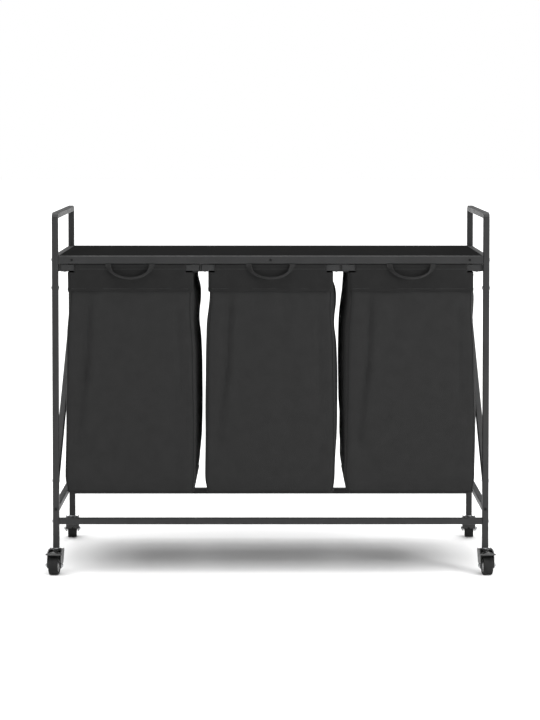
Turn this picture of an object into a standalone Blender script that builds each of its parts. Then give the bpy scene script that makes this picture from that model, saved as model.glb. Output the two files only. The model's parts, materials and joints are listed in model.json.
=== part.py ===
"""Laundry cart with three pull-out bags under a shelf, as separate parts.

Units are metres and +Z is up. The front of the cart faces -Y. The origin is on the floor
under the middle of the cart.
"""

import math

import bmesh
import bpy
from mathutils import Matrix, Vector

MM = 0.001
GAP = 0.3 * MM  # between parts that touch

# Frame of square steel tube
WIDTH = 900 * MM  # over the posts
DEPTH = 400 * MM  # over the posts
HEIGHT = 746 * MM  # to the top of the push handles
TUBE = 13 * MM
WALL = 1.2 * MM
CORNER = 2 * MM  # outside radius of the tube's section
BEND = 8 * MM  # centre-line radius at the handles' corners
POST_X = (WIDTH - TUBE) / 2
POST_Y = (DEPTH - TUBE) / 2
INNER_X = POST_X - TUBE / 2  # inner faces of the posts
INNER_Y = POST_Y - TUBE / 2
POST_FOOT = 53.7 * MM
SEAM = 578.5 * MM  # where a post ends and a handle begins
BOLT_Z = 590.5 * MM  # cross bolts through handle and spigot
SPIGOT = 9.8 * MM  # drawn-down end of a post, pushed into the handle
SPIGOT_LENGTH = 24 * MM
SPIGOT_BORE = 7.4 * MM
LONG_RAIL_Z = 107.5 * MM
END_RAIL_Z = 133 * MM
BRACE_LOW_Z = 191 * MM  # where a brace's centre line meets the front post's
BRACE_HIGH_Z = 489 * MM  # and the rear post's
BOLT_RADIUS = 2 * MM
BOLT_HEAD_RADIUS = 4 * MM
BOLT_HEAD = 1.6 * MM

# Shelf
SHELF_TOP = 656.5 * MM
SHELF_RAIL_HEIGHT = 16.2 * MM
BOARD = 15 * MM
RAIL_BOTTOM = SHELF_TOP - SHELF_RAIL_HEIGHT

# Bag runners: bent sheet, C shaped at the cart's ends, back to back between two bags
BAG_PITCH = 289 * MM
RUNNER_HEIGHT = 16 * MM
RUNNER_SHEET = 1.5 * MM
RUNNER_REACH = 14.5 * MM  # from the mouth of a channel to its back
RUNNER_HALF_LENGTH = 193.5 * MM
RUNNER_TOP = RAIL_BOTTOM - GAP
RUNNER_Z = RUNNER_TOP - RUNNER_HEIGHT / 2

# Bag frames of square bar, with a strip on each side that slides in a runner
BAG_FRAME_X = BAG_PITCH / 2 - RUNNER_REACH - RUNNER_SHEET - GAP  # half its width
BAG_FRAME_FRONT = -196 * MM
BAG_FRAME_REAR = 176 * MM
BAG_FRAME_BAR = 12.6 * MM
BAG_FRAME_Z = 632.2 * MM
STRIP_REACH = 12 * MM
TAB_REACH = 13.8 * MM  # front tabs, which stop against the runners' ends
TAB_THICK = 2 * MM
STRIP_THICK = 2.5 * MM
STRIP_BOTTOM = RUNNER_Z - RUNNER_HEIGHT / 2 + RUNNER_SHEET + GAP

# Bags: height, half width, front, rear
BAG_WALL = 2.5 * MM
BAG_CORNER = 12 * MM
BAG_SECTIONS = (
    (165 * MM, 131 * MM, -191 * MM, 172 * MM),
    (175 * MM, 136 * MM, -195.5 * MM, 177 * MM),
    (400 * MM, 136 * MM, -196.5 * MM, 178 * MM),
    (600 * MM, 131 * MM, -196 * MM, 177 * MM),
    (616 * MM, 127 * MM, -194 * MM, 174 * MM),
    (625.5 * MM, 127 * MM, -194 * MM, 174 * MM),
)
PULL_WIDTH = 102 * MM
PULL_DROP = 31 * MM
PULL_STRAP = 17 * MM
PULL_THICK = 1.5 * MM
PULL_Y = -198.2 * MM

# Casters: y is the way a caster trails, z the height over the floor
WHEEL_RADIUS = 19 * MM
TYRE_WIDTH = 19.5 * MM
TYRE_BORE = 13 * MM
HUB_WIDTH = 23 * MM
TRAIL = 21 * MM
CASTER_YAW = math.radians(6)
FORK_WIDTH = 29 * MM
FORK_PLATE = 2.2 * MM
CROWN_RADIUS = 12.5 * MM
CROWN_TOP = 49.4 * MM
CROWN_BOTTOM = 45.4 * MM
AXLE_RADIUS = 2.4 * MM
STEM_RADIUS = 3.2 * MM
COLLAR_RADIUS = 6.5 * MM
SOCKET = 9.9 * MM
SOCKET_TOP = 78 * MM
STEM_TOP = 72 * MM
LEVER_PIVOT = (17.5 * MM, 42.6 * MM)
LEVER_SLOPE = math.radians(3)
LEVER_WIDTH = 20 * MM
PEDAL_WIDTH = 30 * MM
LEVER_BARREL = 2.8 * MM
PIN_RADIUS = 1.3 * MM
PIN_LENGTH = 28.4 * MM
RUNNING = 0.3 * MM  # radial clearance round a stem, axle or pin

parts = None
cutters = None


def clear_scene():
    for obj in list(bpy.data.objects):
        bpy.data.objects.remove(obj, do_unlink=True)


def new_collection(name):
    made = bpy.data.collections.new(name)
    bpy.context.scene.collection.children.link(made)
    return made


def new_material(name, color, roughness, metallic):
    made = bpy.data.materials.new(name)
    made.use_nodes = True
    shader = made.node_tree.nodes["Principled BSDF"]
    shader.inputs["Base Color"].default_value = (*color, 1)
    shader.inputs["Roughness"].default_value = roughness
    shader.inputs["Metallic"].default_value = metallic
    return made


def place(name, mesh, material, at=(0, 0, 0), turn=None, parent=None):
    """A new part that shows this mesh, at a place and rotation under its parent."""
    obj = bpy.data.objects.new(name, mesh)
    parts.objects.link(obj)
    if material is not None and not mesh.materials:
        mesh.materials.append(material)
    obj.parent = parent
    obj.matrix_local = Matrix.Translation(at) @ (turn or Matrix.Identity(4))
    return obj


def mesh_of(name, bm, smooth=False):
    bmesh.ops.recalc_face_normals(bm, faces=bm.faces)
    mesh = bpy.data.meshes.new(name)
    bm.to_mesh(mesh)
    bm.free()
    if smooth:
        mesh.shade_smooth()
        mesh.set_sharp_from_angle(angle=math.radians(35))
    return mesh


def arc(center, radius, start, end, steps):
    """Points on an arc, angles in degrees."""
    turns = [math.radians(start + (end - start) * i / steps) for i in range(steps + 1)]
    return [(center[0] + radius * math.cos(a), center[1] + radius * math.sin(a)) for a in turns]


def rounded_rectangle(width, height, radius, steps=2):
    corners = ((1, 1, 0), (-1, 1, 90), (-1, -1, 180), (1, -1, 270))
    points = []
    for sx, sy, start in corners:
        center = (sx * (width / 2 - radius), sy * (height / 2 - radius))
        points += arc(center, radius, start, start + 90, steps)
    return points


def loop_edges(bm, points):
    """A closed loop of edges through 3-D points."""
    verts = [bm.verts.new(p) for p in points]
    return [bm.edges.new((a, b)) for a, b in zip(verts, verts[1:] + verts[:1])]


def extrude_loop(bm, edges, offset):
    new = bmesh.ops.extrude_edge_only(bm, edges=edges)["geom"]
    verts = [g for g in new if isinstance(g, bmesh.types.BMVert)]
    bmesh.ops.translate(bm, verts=verts, vec=offset)
    return [g for g in new if isinstance(g, bmesh.types.BMEdge)]


def spin_loop(bm, edges, center, axis, angle, steps):
    new = bmesh.ops.spin(bm, geom=edges, cent=center, axis=axis, angle=angle, steps=steps)
    return [g for g in new["geom_last"] if isinstance(g, bmesh.types.BMEdge)]


def hollow(obj, wall):
    shell = obj.modifiers.new("wall", "SOLIDIFY")
    shell.thickness = wall
    shell.offset = -1
    return obj


def tube_mesh(name, width, height, length):
    """The open surface of a straight tube along Z, centred on the origin."""
    bm = bmesh.new()
    section = rounded_rectangle(width, height, CORNER)
    edges = loop_edges(bm, [(x, y, -length / 2) for x, y in section])
    extrude_loop(bm, edges, (0, 0, length))
    return mesh_of(name, bm, smooth=True)


def prism_mesh(name, outline, thickness):
    """A flat outline in XY with a thickness along Z, centred on z = 0."""
    bm = bmesh.new()
    face = bm.faces.new([bm.verts.new((x, y, -thickness / 2)) for x, y in outline])
    new = bmesh.ops.extrude_face_region(bm, geom=[face])["geom"]
    verts = [g for g in new if isinstance(g, bmesh.types.BMVert)]
    bmesh.ops.translate(bm, verts=verts, vec=(0, 0, thickness))
    return mesh_of(name, bm, smooth=True)


def box_mesh(name, low, high):
    bm = bmesh.new()
    size = Vector(high) - Vector(low)
    middle = (Vector(high) + Vector(low)) / 2
    matrix = Matrix.Translation(middle) @ Matrix.Diagonal((*size, 1))
    bmesh.ops.create_cube(bm, size=1, matrix=matrix)
    return mesh_of(name, bm)


def cylinder_mesh(name, radius, length, segments=16):
    bm = bmesh.new()
    bmesh.ops.create_cone(
        bm, cap_ends=True, segments=segments, radius1=radius, radius2=radius, depth=length
    )
    return mesh_of(name, bm, smooth=True)


def turned_mesh(name, profile, steps, closed=False):
    """A profile of (radius, z) points, run down its outer side, turned about Z."""
    mesh = bpy.data.meshes.new(name)
    count = len(profile)
    edges = [(i, i + 1) for i in range(count - 1)] + ([(count - 1, 0)] if closed else [])
    mesh.from_pydata([(r, 0, z) for r, z in profile], edges, [])
    obj = bpy.data.objects.new(name + "_profile", mesh)
    cutters.objects.link(obj)
    screw = obj.modifiers.new("turn", "SCREW")
    screw.steps = screw.render_steps = steps
    screw.use_merge_vertices = True
    screw.merge_threshold = 0.00001
    made = finished_mesh(name, obj)
    made.shade_smooth()
    made.set_sharp_from_angle(angle=math.radians(35))
    return made


def finished_mesh(name, obj):
    """The object's mesh with its modifiers applied. The object itself is removed."""
    bpy.context.view_layer.update()
    graph = bpy.context.evaluated_depsgraph_get()
    mesh = bpy.data.meshes.new_from_object(obj.evaluated_get(graph))
    mesh.name = name
    bpy.data.objects.remove(obj, do_unlink=True)
    return mesh


def combined_mesh(name, base, joined=(), cut=()):
    """base, united with the (mesh, matrix) pairs in joined, then with those in cut removed."""
    obj = bpy.data.objects.new(name + "_blank", base)
    cutters.objects.link(obj)
    tools = []
    for operation, shapes in (("UNION", joined), ("DIFFERENCE", cut)):
        for mesh, matrix in shapes:
            tool = bpy.data.objects.new(f"{name}_tool_{len(tools)}", mesh)
            cutters.objects.link(tool)
            tool.matrix_world = matrix
            tool.hide_render = True
            tool.display_type = "WIRE"
            tools.append(tool)
            boolean = obj.modifiers.new(tool.name, "BOOLEAN")
            boolean.operation = operation
            boolean.object = tool
    made = finished_mesh(name, obj)
    for tool in tools:
        bpy.data.objects.remove(tool, do_unlink=True)
    made.shade_smooth()
    made.set_sharp_from_angle(angle=math.radians(35))
    return made


ALONG_X = Matrix.Rotation(math.radians(90), 4, "Y")
ALONG_Y = Matrix.Rotation(math.radians(-90), 4, "X")
SIDES = (("left", -1), ("right", 1))
ENDS = (("front", -1), ("rear", 1))
BAGS = (("left", -1), ("middle", 0), ("right", 1))
STAND = Matrix(((0, 0, 1, 0), (1, 0, 0, 0), (0, 1, 0, 0), (0, 0, 0, 1)))  # xy outline to yz
FACE_ON = Matrix.Rotation(math.radians(90), 4, "X")  # xy outline to xz


def shift(x, y, z):
    return Matrix.Translation((x, y, z))


def drill(obj, matrix, radius, length):
    """A round hole through a part that keeps its modifiers."""
    tool = bpy.data.objects.new(obj.name + "_drill", cylinder_mesh("drill", radius, length, 12))
    cutters.objects.link(tool)
    tool.matrix_world = matrix
    tool.hide_render = True
    tool.display_type = "WIRE"
    cut = obj.modifiers.new("hole", "BOOLEAN")
    cut.object = tool


def add_handles(steel):
    """The two push handles: inverted U tubes that also hold the ends of the shelf's rails."""
    foot = SEAM + GAP / 2
    rise = HEIGHT - TUBE / 2 - BEND - foot
    run = 2 * (POST_Y - BEND)
    quarter = math.radians(90)
    for side, sx in SIDES:
        bm = bmesh.new()
        section = rounded_rectangle(TUBE, TUBE, CORNER)
        edges = loop_edges(bm, [(x, y - POST_Y, foot) for x, y in section])
        edges = extrude_loop(bm, edges, (0, 0, rise))
        bend_z = foot + rise
        edges = spin_loop(bm, edges, (0, BEND - POST_Y, bend_z), (-1, 0, 0), quarter, 4)
        edges = extrude_loop(bm, edges, (0, run, 0))
        edges = spin_loop(bm, edges, (0, POST_Y - BEND, bend_z), (-1, 0, 0), quarter, 4)
        extrude_loop(bm, edges, (0, 0, -rise))
        mesh = mesh_of(f"{side}_handle", bm, smooth=True)
        handle = hollow(place(f"{side}_handle", mesh, steel, (sx * POST_X, 0, 0)), WALL)
        for _, sy in ENDS:
            hole = shift(sx * POST_X, sy * POST_Y, BOLT_Z) @ ALONG_X
            drill(handle, hole, BOLT_RADIUS + RUNNING, 2 * TUBE)


def post_mesh():
    """A tube from its foot at z = 0 to the seam, with a bored spigot above it."""
    length = SEAM - GAP / 2 - POST_FOOT
    neck = 12 * MM  # solid stretch under the seam
    tube_bore = TUBE - 2 * WALL
    body = prism_mesh("post_body", rounded_rectangle(TUBE, TUBE, CORNER), length)
    body.transform(shift(0, 0, length / 2))
    spigot = prism_mesh("spigot", rounded_rectangle(SPIGOT, SPIGOT, CORNER), 2 * SPIGOT_LENGTH)
    wide = prism_mesh("wide_bore", rounded_rectangle(tube_bore, tube_bore, 1 * MM), 2 * length)
    thin_outline = rounded_rectangle(SPIGOT_BORE, SPIGOT_BORE, 1 * MM)
    thin = prism_mesh("thin_bore", thin_outline, 4 * SPIGOT_LENGTH)
    hole = cylinder_mesh("bolt_hole", BOLT_RADIUS + RUNNING, 2 * TUBE, 12)
    cut = [
        (wide, shift(0, 0, -neck)),
        (thin, shift(0, 0, length)),
        (hole, shift(0, 0, BOLT_Z - POST_FOOT) @ ALONG_X),
    ]
    return combined_mesh("post", body, [(spigot, shift(0, 0, length))], cut)


def bolt_mesh():
    """A cross bolt along Z, with a low head at each end."""
    reach = TUBE / 2 + GAP
    rim = reach + BOLT_HEAD / 3
    profile = [
        (0, reach + BOLT_HEAD),
        (BOLT_HEAD_RADIUS * 0.6, reach + BOLT_HEAD),
        (BOLT_HEAD_RADIUS, rim),
        (BOLT_HEAD_RADIUS, reach),
        (BOLT_RADIUS, reach),
        (BOLT_RADIUS, 0),
    ]
    return turned_mesh("bolt", profile + mirrored(profile[:-1]), 12)


def mirrored(profile):
    return [(r, -z) for r, z in reversed(profile)]


def add_posts(steel, zinc):
    post, bolt = post_mesh(), bolt_mesh()
    for end, sy in ENDS:
        for side, sx in SIDES:
            x, y = sx * POST_X, sy * POST_Y
            place(f"{end}_{side}_post", post, steel, (x, y, POST_FOOT))
            place(f"{end}_{side}_handle_bolt", bolt, zinc, (x, y, BOLT_Z), ALONG_X)


def add_rails(steel):
    long_rail = tube_mesh("long_rail", TUBE, TUBE, 2 * (INNER_X - GAP))
    end_rail = tube_mesh("end_rail", TUBE, TUBE, 2 * (INNER_Y - GAP))
    shelf_long = tube_mesh("shelf_long", SHELF_RAIL_HEIGHT, TUBE, 2 * (INNER_X - GAP))
    shelf_end = tube_mesh("shelf_end", TUBE, SHELF_RAIL_HEIGHT, 2 * (INNER_Y - GAP))
    shelf_z = SHELF_TOP - SHELF_RAIL_HEIGHT / 2
    for end, sy in ENDS:
        low = (0, sy * POST_Y, LONG_RAIL_Z)
        hollow(place(f"bottom_{end}_rail", long_rail, steel, low, ALONG_X), WALL)
        high = (0, sy * POST_Y, shelf_z)
        hollow(place(f"shelf_{end}_rail", shelf_long, steel, high, ALONG_X), WALL)
    for side, sx in SIDES:
        low = (sx * POST_X, 0, END_RAIL_Z)
        hollow(place(f"bottom_{side}_rail", end_rail, steel, low, ALONG_Y), WALL)
        high = (sx * POST_X, 0, shelf_z)
        hollow(place(f"shelf_{side}_rail", shelf_end, steel, high, ALONG_Y), WALL)


def slanted_mesh(name, width, height, reach, slope):
    """A bar along Y that climbs with this slope, its ends upright at y = -reach and reach."""
    bm = bmesh.new()
    outline = rounded_rectangle(width, height, CORNER)
    face = bm.faces.new([bm.verts.new((x, -reach, z - slope * reach)) for x, z in outline])
    new = bmesh.ops.extrude_face_region(bm, geom=[face])["geom"]
    verts = [g for g in new if isinstance(g, bmesh.types.BMVert)]
    bmesh.ops.translate(bm, verts=verts, vec=(0, 2 * reach, 2 * reach * slope))
    return mesh_of(name, bm, smooth=True)


def add_braces(steel):
    """One sloping tube at each end, cut upright where it meets the posts."""
    slope = (BRACE_HIGH_Z - BRACE_LOW_Z) / (2 * POST_Y)
    tall = TUBE * math.hypot(1, slope)
    reach = INNER_Y - GAP
    outside = slanted_mesh("brace_outside", TUBE, tall, reach, slope)
    bore = slanted_mesh("brace_bore", TUBE - 2 * WALL, tall - 3 * WALL, 2 * reach, slope)
    mesh = combined_mesh("brace", outside, cut=[(bore, Matrix.Identity(4))])
    for side, sx in SIDES:
        at = (sx * POST_X, 0, (BRACE_LOW_Z + BRACE_HIGH_Z) / 2)
        place(f"{side}_brace", mesh, steel, at)


def add_shelf_board(board):
    low = (GAP - INNER_X, GAP - INNER_Y, SHELF_TOP - BOARD)
    high = (INNER_X - GAP, INNER_Y - GAP, SHELF_TOP - GAP)
    panel = place("shelf_board", box_mesh("shelf_board", low, high), board)
    rounded = panel.modifiers.new("edges", "BEVEL")
    rounded.width = 0.8 * MM
    rounded.segments = 2


def channel_outline(reach):
    """A C open towards -x, its back at x = 0."""
    half = RUNNER_HEIGHT / 2
    inside = half - RUNNER_SHEET
    return [
        (-reach, -half),
        (0, -half),
        (0, half),
        (-reach, half),
        (-reach, inside),
        (-RUNNER_SHEET, inside),
        (-RUNNER_SHEET, -inside),
        (-reach, -inside),
    ]


def double_channel_outline(reach):
    """Two channels back to back, so the section is an H lying on its side."""
    right = [(-x, y) for x, y in channel_outline(reach)[4:8]]
    half = RUNNER_HEIGHT / 2
    left = [(-x, y) for x, y in right]
    return [
        (-reach, half),
        *left,
        (-reach, -half),
        (reach, -half),
        *reversed(right),
        (reach, half),
    ]


def add_runners(steel):
    """Single channels at the cart's ends and back-to-back channels between the bags."""
    reach = RUNNER_REACH + RUNNER_SHEET
    length = 2 * RUNNER_HALF_LENGTH
    single = prism_mesh("single_runner", channel_outline(reach - RUNNER_SHEET), length)
    double = prism_mesh("double_runner", double_channel_outline(reach), length)
    for mesh in (single, double):
        mesh.transform(FACE_ON)
    back = BAG_PITCH + BAG_FRAME_X + GAP + RUNNER_REACH
    turned = Matrix.Rotation(math.radians(180), 4, "Z")
    for side, sx in SIDES:
        turn = turned if sx < 0 else None
        place(f"outer_{side}_runner", single, steel, (sx * back, 0, RUNNER_Z), turn)
        place(f"inner_{side}_runner", double, steel, (sx * BAG_PITCH / 2, 0, RUNNER_Z))


def middled_box(name, x, y, z):
    """A box centred on the origin, given its half sizes."""
    return box_mesh(name, (-x, -y, -z), (x, y, z))


def bag_frame_mesh():
    """A flat rectangle of tube about the bag's middle, with a slide strip on each side."""
    still = Matrix.Identity(4)
    x, y, z = BAG_FRAME_X, (BAG_FRAME_REAR - BAG_FRAME_FRONT) / 2, BAG_FRAME_BAR / 2
    bar = BAG_FRAME_BAR
    body = middled_box("bag_frame_body", x, y, z)
    hole = middled_box("bag_frame_hole", x - bar, y - bar, 2 * z)
    core = middled_box("bag_frame_core", x - bar + WALL, y - bar + WALL, 2 * z)
    cavity = middled_box("bag_frame_cavity", x - WALL, y - WALL, z - WALL)
    cavity = combined_mesh("bag_frame_cavity", cavity, cut=[(core, still)])
    drain = cylinder_mesh("drain", 2.5 * MM, bar, 10)
    drain_at = [shift(0, end * (y - bar / 2), -bar / 2) for end in (-1, 1)]
    strip = middled_box("strip", x + STRIP_REACH, y - 20 * MM, STRIP_THICK / 2)
    strip_at = shift(0, 0, STRIP_BOTTOM + STRIP_THICK / 2 - BAG_FRAME_Z)
    tab = middled_box("tab", x + TAB_REACH, TAB_THICK / 2, z)
    tab_at = shift(0, TAB_THICK / 2 - y, 0)
    cut = [(hole, still), (cavity, still)] + [(drain.copy(), at) for at in drain_at]
    return combined_mesh("bag_frame", body, [(strip, strip_at), (tab, tab_at)], cut)


def bag_mesh():
    """The open-topped surface of a bag, from its base up."""
    bm = bmesh.new()
    edges = None
    for z, half_width, front, rear in BAG_SECTIONS:
        section = rounded_rectangle(2 * half_width, rear - front, BAG_CORNER, 3)
        ring = loop_edges(bm, [(x, y + (front + rear) / 2, z) for x, y in section])
        if edges is None:
            bmesh.ops.edgenet_fill(bm, edges=ring)
        else:
            bmesh.ops.bridge_loops(bm, edges=edges + ring)
        edges = ring
    return mesh_of("bag", bm, smooth=True)


def pull_mesh():
    """A flat U of webbing, facing -Y, hanging from z = 0."""
    half, inner = PULL_WIDTH / 2, PULL_WIDTH / 2 - PULL_STRAP
    outer_arc = [(half * x, PULL_DROP * y) for x, y in arc((0, 0), 1, 180, 360, 12)]
    hollow_drop = PULL_DROP - PULL_STRAP
    inner_arc = [(inner * x, hollow_drop * y) for x, y in arc((0, 0), 1, 360, 180, 12)]
    mesh = prism_mesh("pull", outer_arc + inner_arc, PULL_THICK)
    mesh.transform(FACE_ON)
    return mesh


def add_bags(steel, fabric, webbing):
    frame, bag, pull = bag_frame_mesh(), bag_mesh(), pull_mesh()
    middle = (BAG_FRAME_FRONT + BAG_FRAME_REAR) / 2
    for name, place_x in BAGS:
        x = place_x * BAG_PITCH
        place(f"{name}_bag_frame", frame, steel, (x, middle, BAG_FRAME_Z))
        hollow(place(f"{name}_bag", bag, fabric, (x, 0, 0)), BAG_WALL)
        place(f"{name}_bag_pull", pull, webbing, (x, PULL_Y, RAIL_BOTTOM - GAP))


def socket_mesh():
    """The plug in a post's foot, with a flange under it and a bore for the stem."""
    foot = CROWN_TOP + 2.9 * MM
    flange_top = POST_FOOT - GAP
    flange = prism_mesh("flange", rounded_rectangle(TUBE, TUBE, CORNER), flange_top - foot)
    flange.transform(shift(0, 0, (flange_top + foot) / 2))
    plug = prism_mesh("plug", rounded_rectangle(SOCKET, SOCKET, CORNER / 2), SOCKET_TOP - foot)
    lift = shift(0, 0, (SOCKET_TOP + foot) / 2)
    bore = cylinder_mesh("bore", STEM_RADIUS + RUNNING, 60 * MM)
    return combined_mesh("socket", flange, [(plug, lift)], [(bore, lift)])


def stem_mesh():
    """The stem with the collar over the fork and the head under it."""
    collar_bottom = CROWN_TOP + GAP
    collar_top = collar_bottom + 2.3 * MM
    head_top = CROWN_BOTTOM - GAP
    head_bottom = head_top - 2.2 * MM
    profile = [
        (0, STEM_TOP),
        (STEM_RADIUS - 0.8 * MM, STEM_TOP),
        (STEM_RADIUS, STEM_TOP - 0.8 * MM),
        (STEM_RADIUS, collar_top),
        (COLLAR_RADIUS, collar_top),
        (COLLAR_RADIUS, collar_bottom),
        (STEM_RADIUS, collar_bottom),
        (STEM_RADIUS, head_top),
        (COLLAR_RADIUS, head_top),
        (COLLAR_RADIUS - 0.8 * MM, head_bottom),
        (0, head_bottom),
    ]
    return turned_mesh("stem", profile, 12)


def fork_mesh():
    """A round crown over two side plates and a sloping back, with three holes."""
    outline = [
        (-12 * MM, 46 * MM),
        (-11 * MM, CROWN_TOP),
        (14 * MM, CROWN_TOP),
        (21 * MM, 46 * MM),
        (24 * MM, 40 * MM),
        *arc((TRAIL, WHEEL_RADIUS), 6.5 * MM, 20, -160, 6),
        (-2 * MM, 22 * MM),
    ]
    back_outline = [
        (-12 * MM, 46 * MM),
        (-9.6 * MM, 46 * MM),
        (0.4 * MM, 22 * MM),
        (-2 * MM, 22 * MM),
    ]
    plate = prism_mesh("plate", outline, FORK_PLATE)
    plate.transform(STAND)
    crown = cylinder_mesh("crown", CROWN_RADIUS, CROWN_TOP - CROWN_BOTTOM, 20)
    crown.transform(shift(0, 0, (CROWN_TOP + CROWN_BOTTOM) / 2))
    reach = (FORK_WIDTH - FORK_PLATE) / 2
    web = box_mesh("web", (-reach, -8 * MM, CROWN_BOTTOM + 0.2 * MM), (reach, 8 * MM, 49 * MM))
    joined = [(plate, shift(x, 0, 0)) for x in (-reach, reach)]
    joined.append((web, Matrix.Identity(4)))
    joined.append((prism_mesh("back", back_outline, 2 * reach), STAND))
    through = 2 * FORK_WIDTH
    holes = [
        (cylinder_mesh("stem_hole", STEM_RADIUS + RUNNING, through), shift(0, 0, CROWN_TOP)),
        (
            cylinder_mesh("axle_hole", AXLE_RADIUS + RUNNING, through, 12),
            shift(0, TRAIL, WHEEL_RADIUS) @ ALONG_X,
        ),
        (
            cylinder_mesh("pin_hole", PIN_RADIUS + RUNNING, through, 12),
            shift(0, *LEVER_PIVOT) @ ALONG_X,
        ),
    ]
    return combined_mesh("fork", crown, joined, holes)


def tyre_mesh():
    half = TYRE_WIDTH / 2
    upper = [
        (TYRE_BORE, half),
        (WHEEL_RADIUS - 1.6 * MM, half),
        (WHEEL_RADIUS, half - 2 * MM),
    ]
    return turned_mesh("tyre", upper + mirrored(upper), 24, closed=True)


def hub_mesh():
    """A dished hub with a boss round its bore."""
    bore = AXLE_RADIUS + RUNNING
    rim = TYRE_BORE - GAP
    upper = [
        (bore, HUB_WIDTH / 2),
        (5.5 * MM, HUB_WIDTH / 2),
        (6 * MM, 5.5 * MM),
        (11 * MM, 5.5 * MM),
        (rim, 8.2 * MM),
    ]
    return turned_mesh("hub", upper + mirrored(upper), 16, closed=True)


def axle_mesh():
    """A bolt along Z with a domed head and a nut, which also close the fork."""
    shank = FORK_WIDTH / 2 + GAP
    head = 4.4 * MM
    profile = [
        (0, shank + 3.7 * MM),
        (2.6 * MM, shank + 3.3 * MM),
        (head, shank + 1.4 * MM),
        (head, shank),
        (AXLE_RADIUS, shank),
        (AXLE_RADIUS, 0),
    ]
    return turned_mesh("axle", profile + mirrored(profile[:-1]), 12)


def lever_mesh():
    """The brake lever: a barrel on its pin, an arm with a shoe, and a wide pedal."""
    shoe = -3.9 * MM
    arm_outline = [
        (0, -1.4 * MM),
        (3.5 * MM, -1.4 * MM),
        (4 * MM, shoe),
        (8 * MM, shoe),
        (8.5 * MM, -1.4 * MM),
        (12 * MM, -1.2 * MM),
        (12 * MM, 1 * MM),
        (0, 1.4 * MM),
    ]
    pedal_outline = [
        (10 * MM, -1.2 * MM),
        (19.5 * MM, -1.2 * MM),
        (20.5 * MM, 0),
        (19.5 * MM, 1.2 * MM),
        (10 * MM, 1.2 * MM),
    ]
    arm = prism_mesh("arm", arm_outline, LEVER_WIDTH)
    pedal = prism_mesh("pedal", pedal_outline, PEDAL_WIDTH)
    barrel = cylinder_mesh("barrel", LEVER_BARREL, LEVER_WIDTH - 0.4 * MM)
    barrel.transform(ALONG_X)
    pin = cylinder_mesh("pin", PIN_RADIUS, PIN_LENGTH, 10)
    tilt = Matrix.Rotation(LEVER_SLOPE, 4, "X") @ STAND
    return combined_mesh("lever", barrel, [(arm, tilt), (pedal, tilt), (pin, ALONG_X)])


def add_casters(zinc, steel, rubber, plastic, hub_grey):
    """Four swivel casters. The front pair trails forwards, the rear pair backwards."""
    socket, stem, fork = socket_mesh(), stem_mesh(), fork_mesh()
    tyre, hub, axle, lever = tyre_mesh(), hub_mesh(), axle_mesh(), lever_mesh()
    for end, sy in ENDS:
        for side, sx in SIDES:
            name = f"{end}_{side}"
            at = (sx * POST_X, sy * POST_Y, 0)
            swivel = bpy.data.objects.new(f"{name}_swivel", None)
            parts.objects.link(swivel)
            swivel.location = at
            swivel.rotation_euler.z = (math.pi if sy < 0 else 0) - sx * sy * CASTER_YAW
            axle_at = (0, TRAIL, WHEEL_RADIUS)
            place(f"{name}_caster_socket", socket, plastic, at)
            place(f"{name}_caster_stem", stem, zinc, at)
            place(f"{name}_caster_fork", fork, steel, parent=swivel)
            place(f"{name}_caster_axle", axle, zinc, axle_at, ALONG_X, swivel)
            place(f"{name}_wheel_hub", hub, hub_grey, axle_at, ALONG_X, swivel)
            place(f"{name}_wheel_tyre", tyre, rubber, axle_at, ALONG_X, swivel)
            if end == "front":
                place(f"{name}_brake_lever", lever, plastic, (0, *LEVER_PIVOT), None, swivel)


def main():
    global parts, cutters
    clear_scene()
    parts = new_collection("laundry_cart")
    cutters = new_collection("cutters")
    steel = new_material("painted_steel", (0.045, 0.045, 0.047), 0.45, 0.3)
    board = new_material("shelf_board", (0.02, 0.02, 0.021), 0.6, 0)
    fabric = new_material("bag_fabric", (0.03, 0.03, 0.032), 0.9, 0)
    webbing = new_material("webbing", (0.025, 0.025, 0.027), 0.8, 0)
    zinc = new_material("zinc", (0.6, 0.6, 0.62), 0.35, 1)
    rubber = new_material("wheel_rubber", (0.02, 0.02, 0.02), 0.6, 0)
    plastic = new_material("black_plastic", (0.02, 0.02, 0.022), 0.4, 0)
    hub_grey = new_material("hub_plastic", (0.35, 0.35, 0.36), 0.45, 0)
    add_handles(steel)
    add_posts(steel, zinc)
    add_rails(steel)
    add_braces(steel)
    add_shelf_board(board)
    add_runners(steel)
    add_bags(steel, fabric, webbing)
    add_casters(zinc, steel, rubber, plastic, hub_grey)


main()
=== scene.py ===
"""Looks of the laundry cart, on the frame that its solids make.

Metres, +Z up. The front of the cart faces -Y. The cloth bags, their pulls, the wheels, the
brake pedals and the small screws are made here. The tubes and the shelf get their finish.
"""

import math

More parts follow.
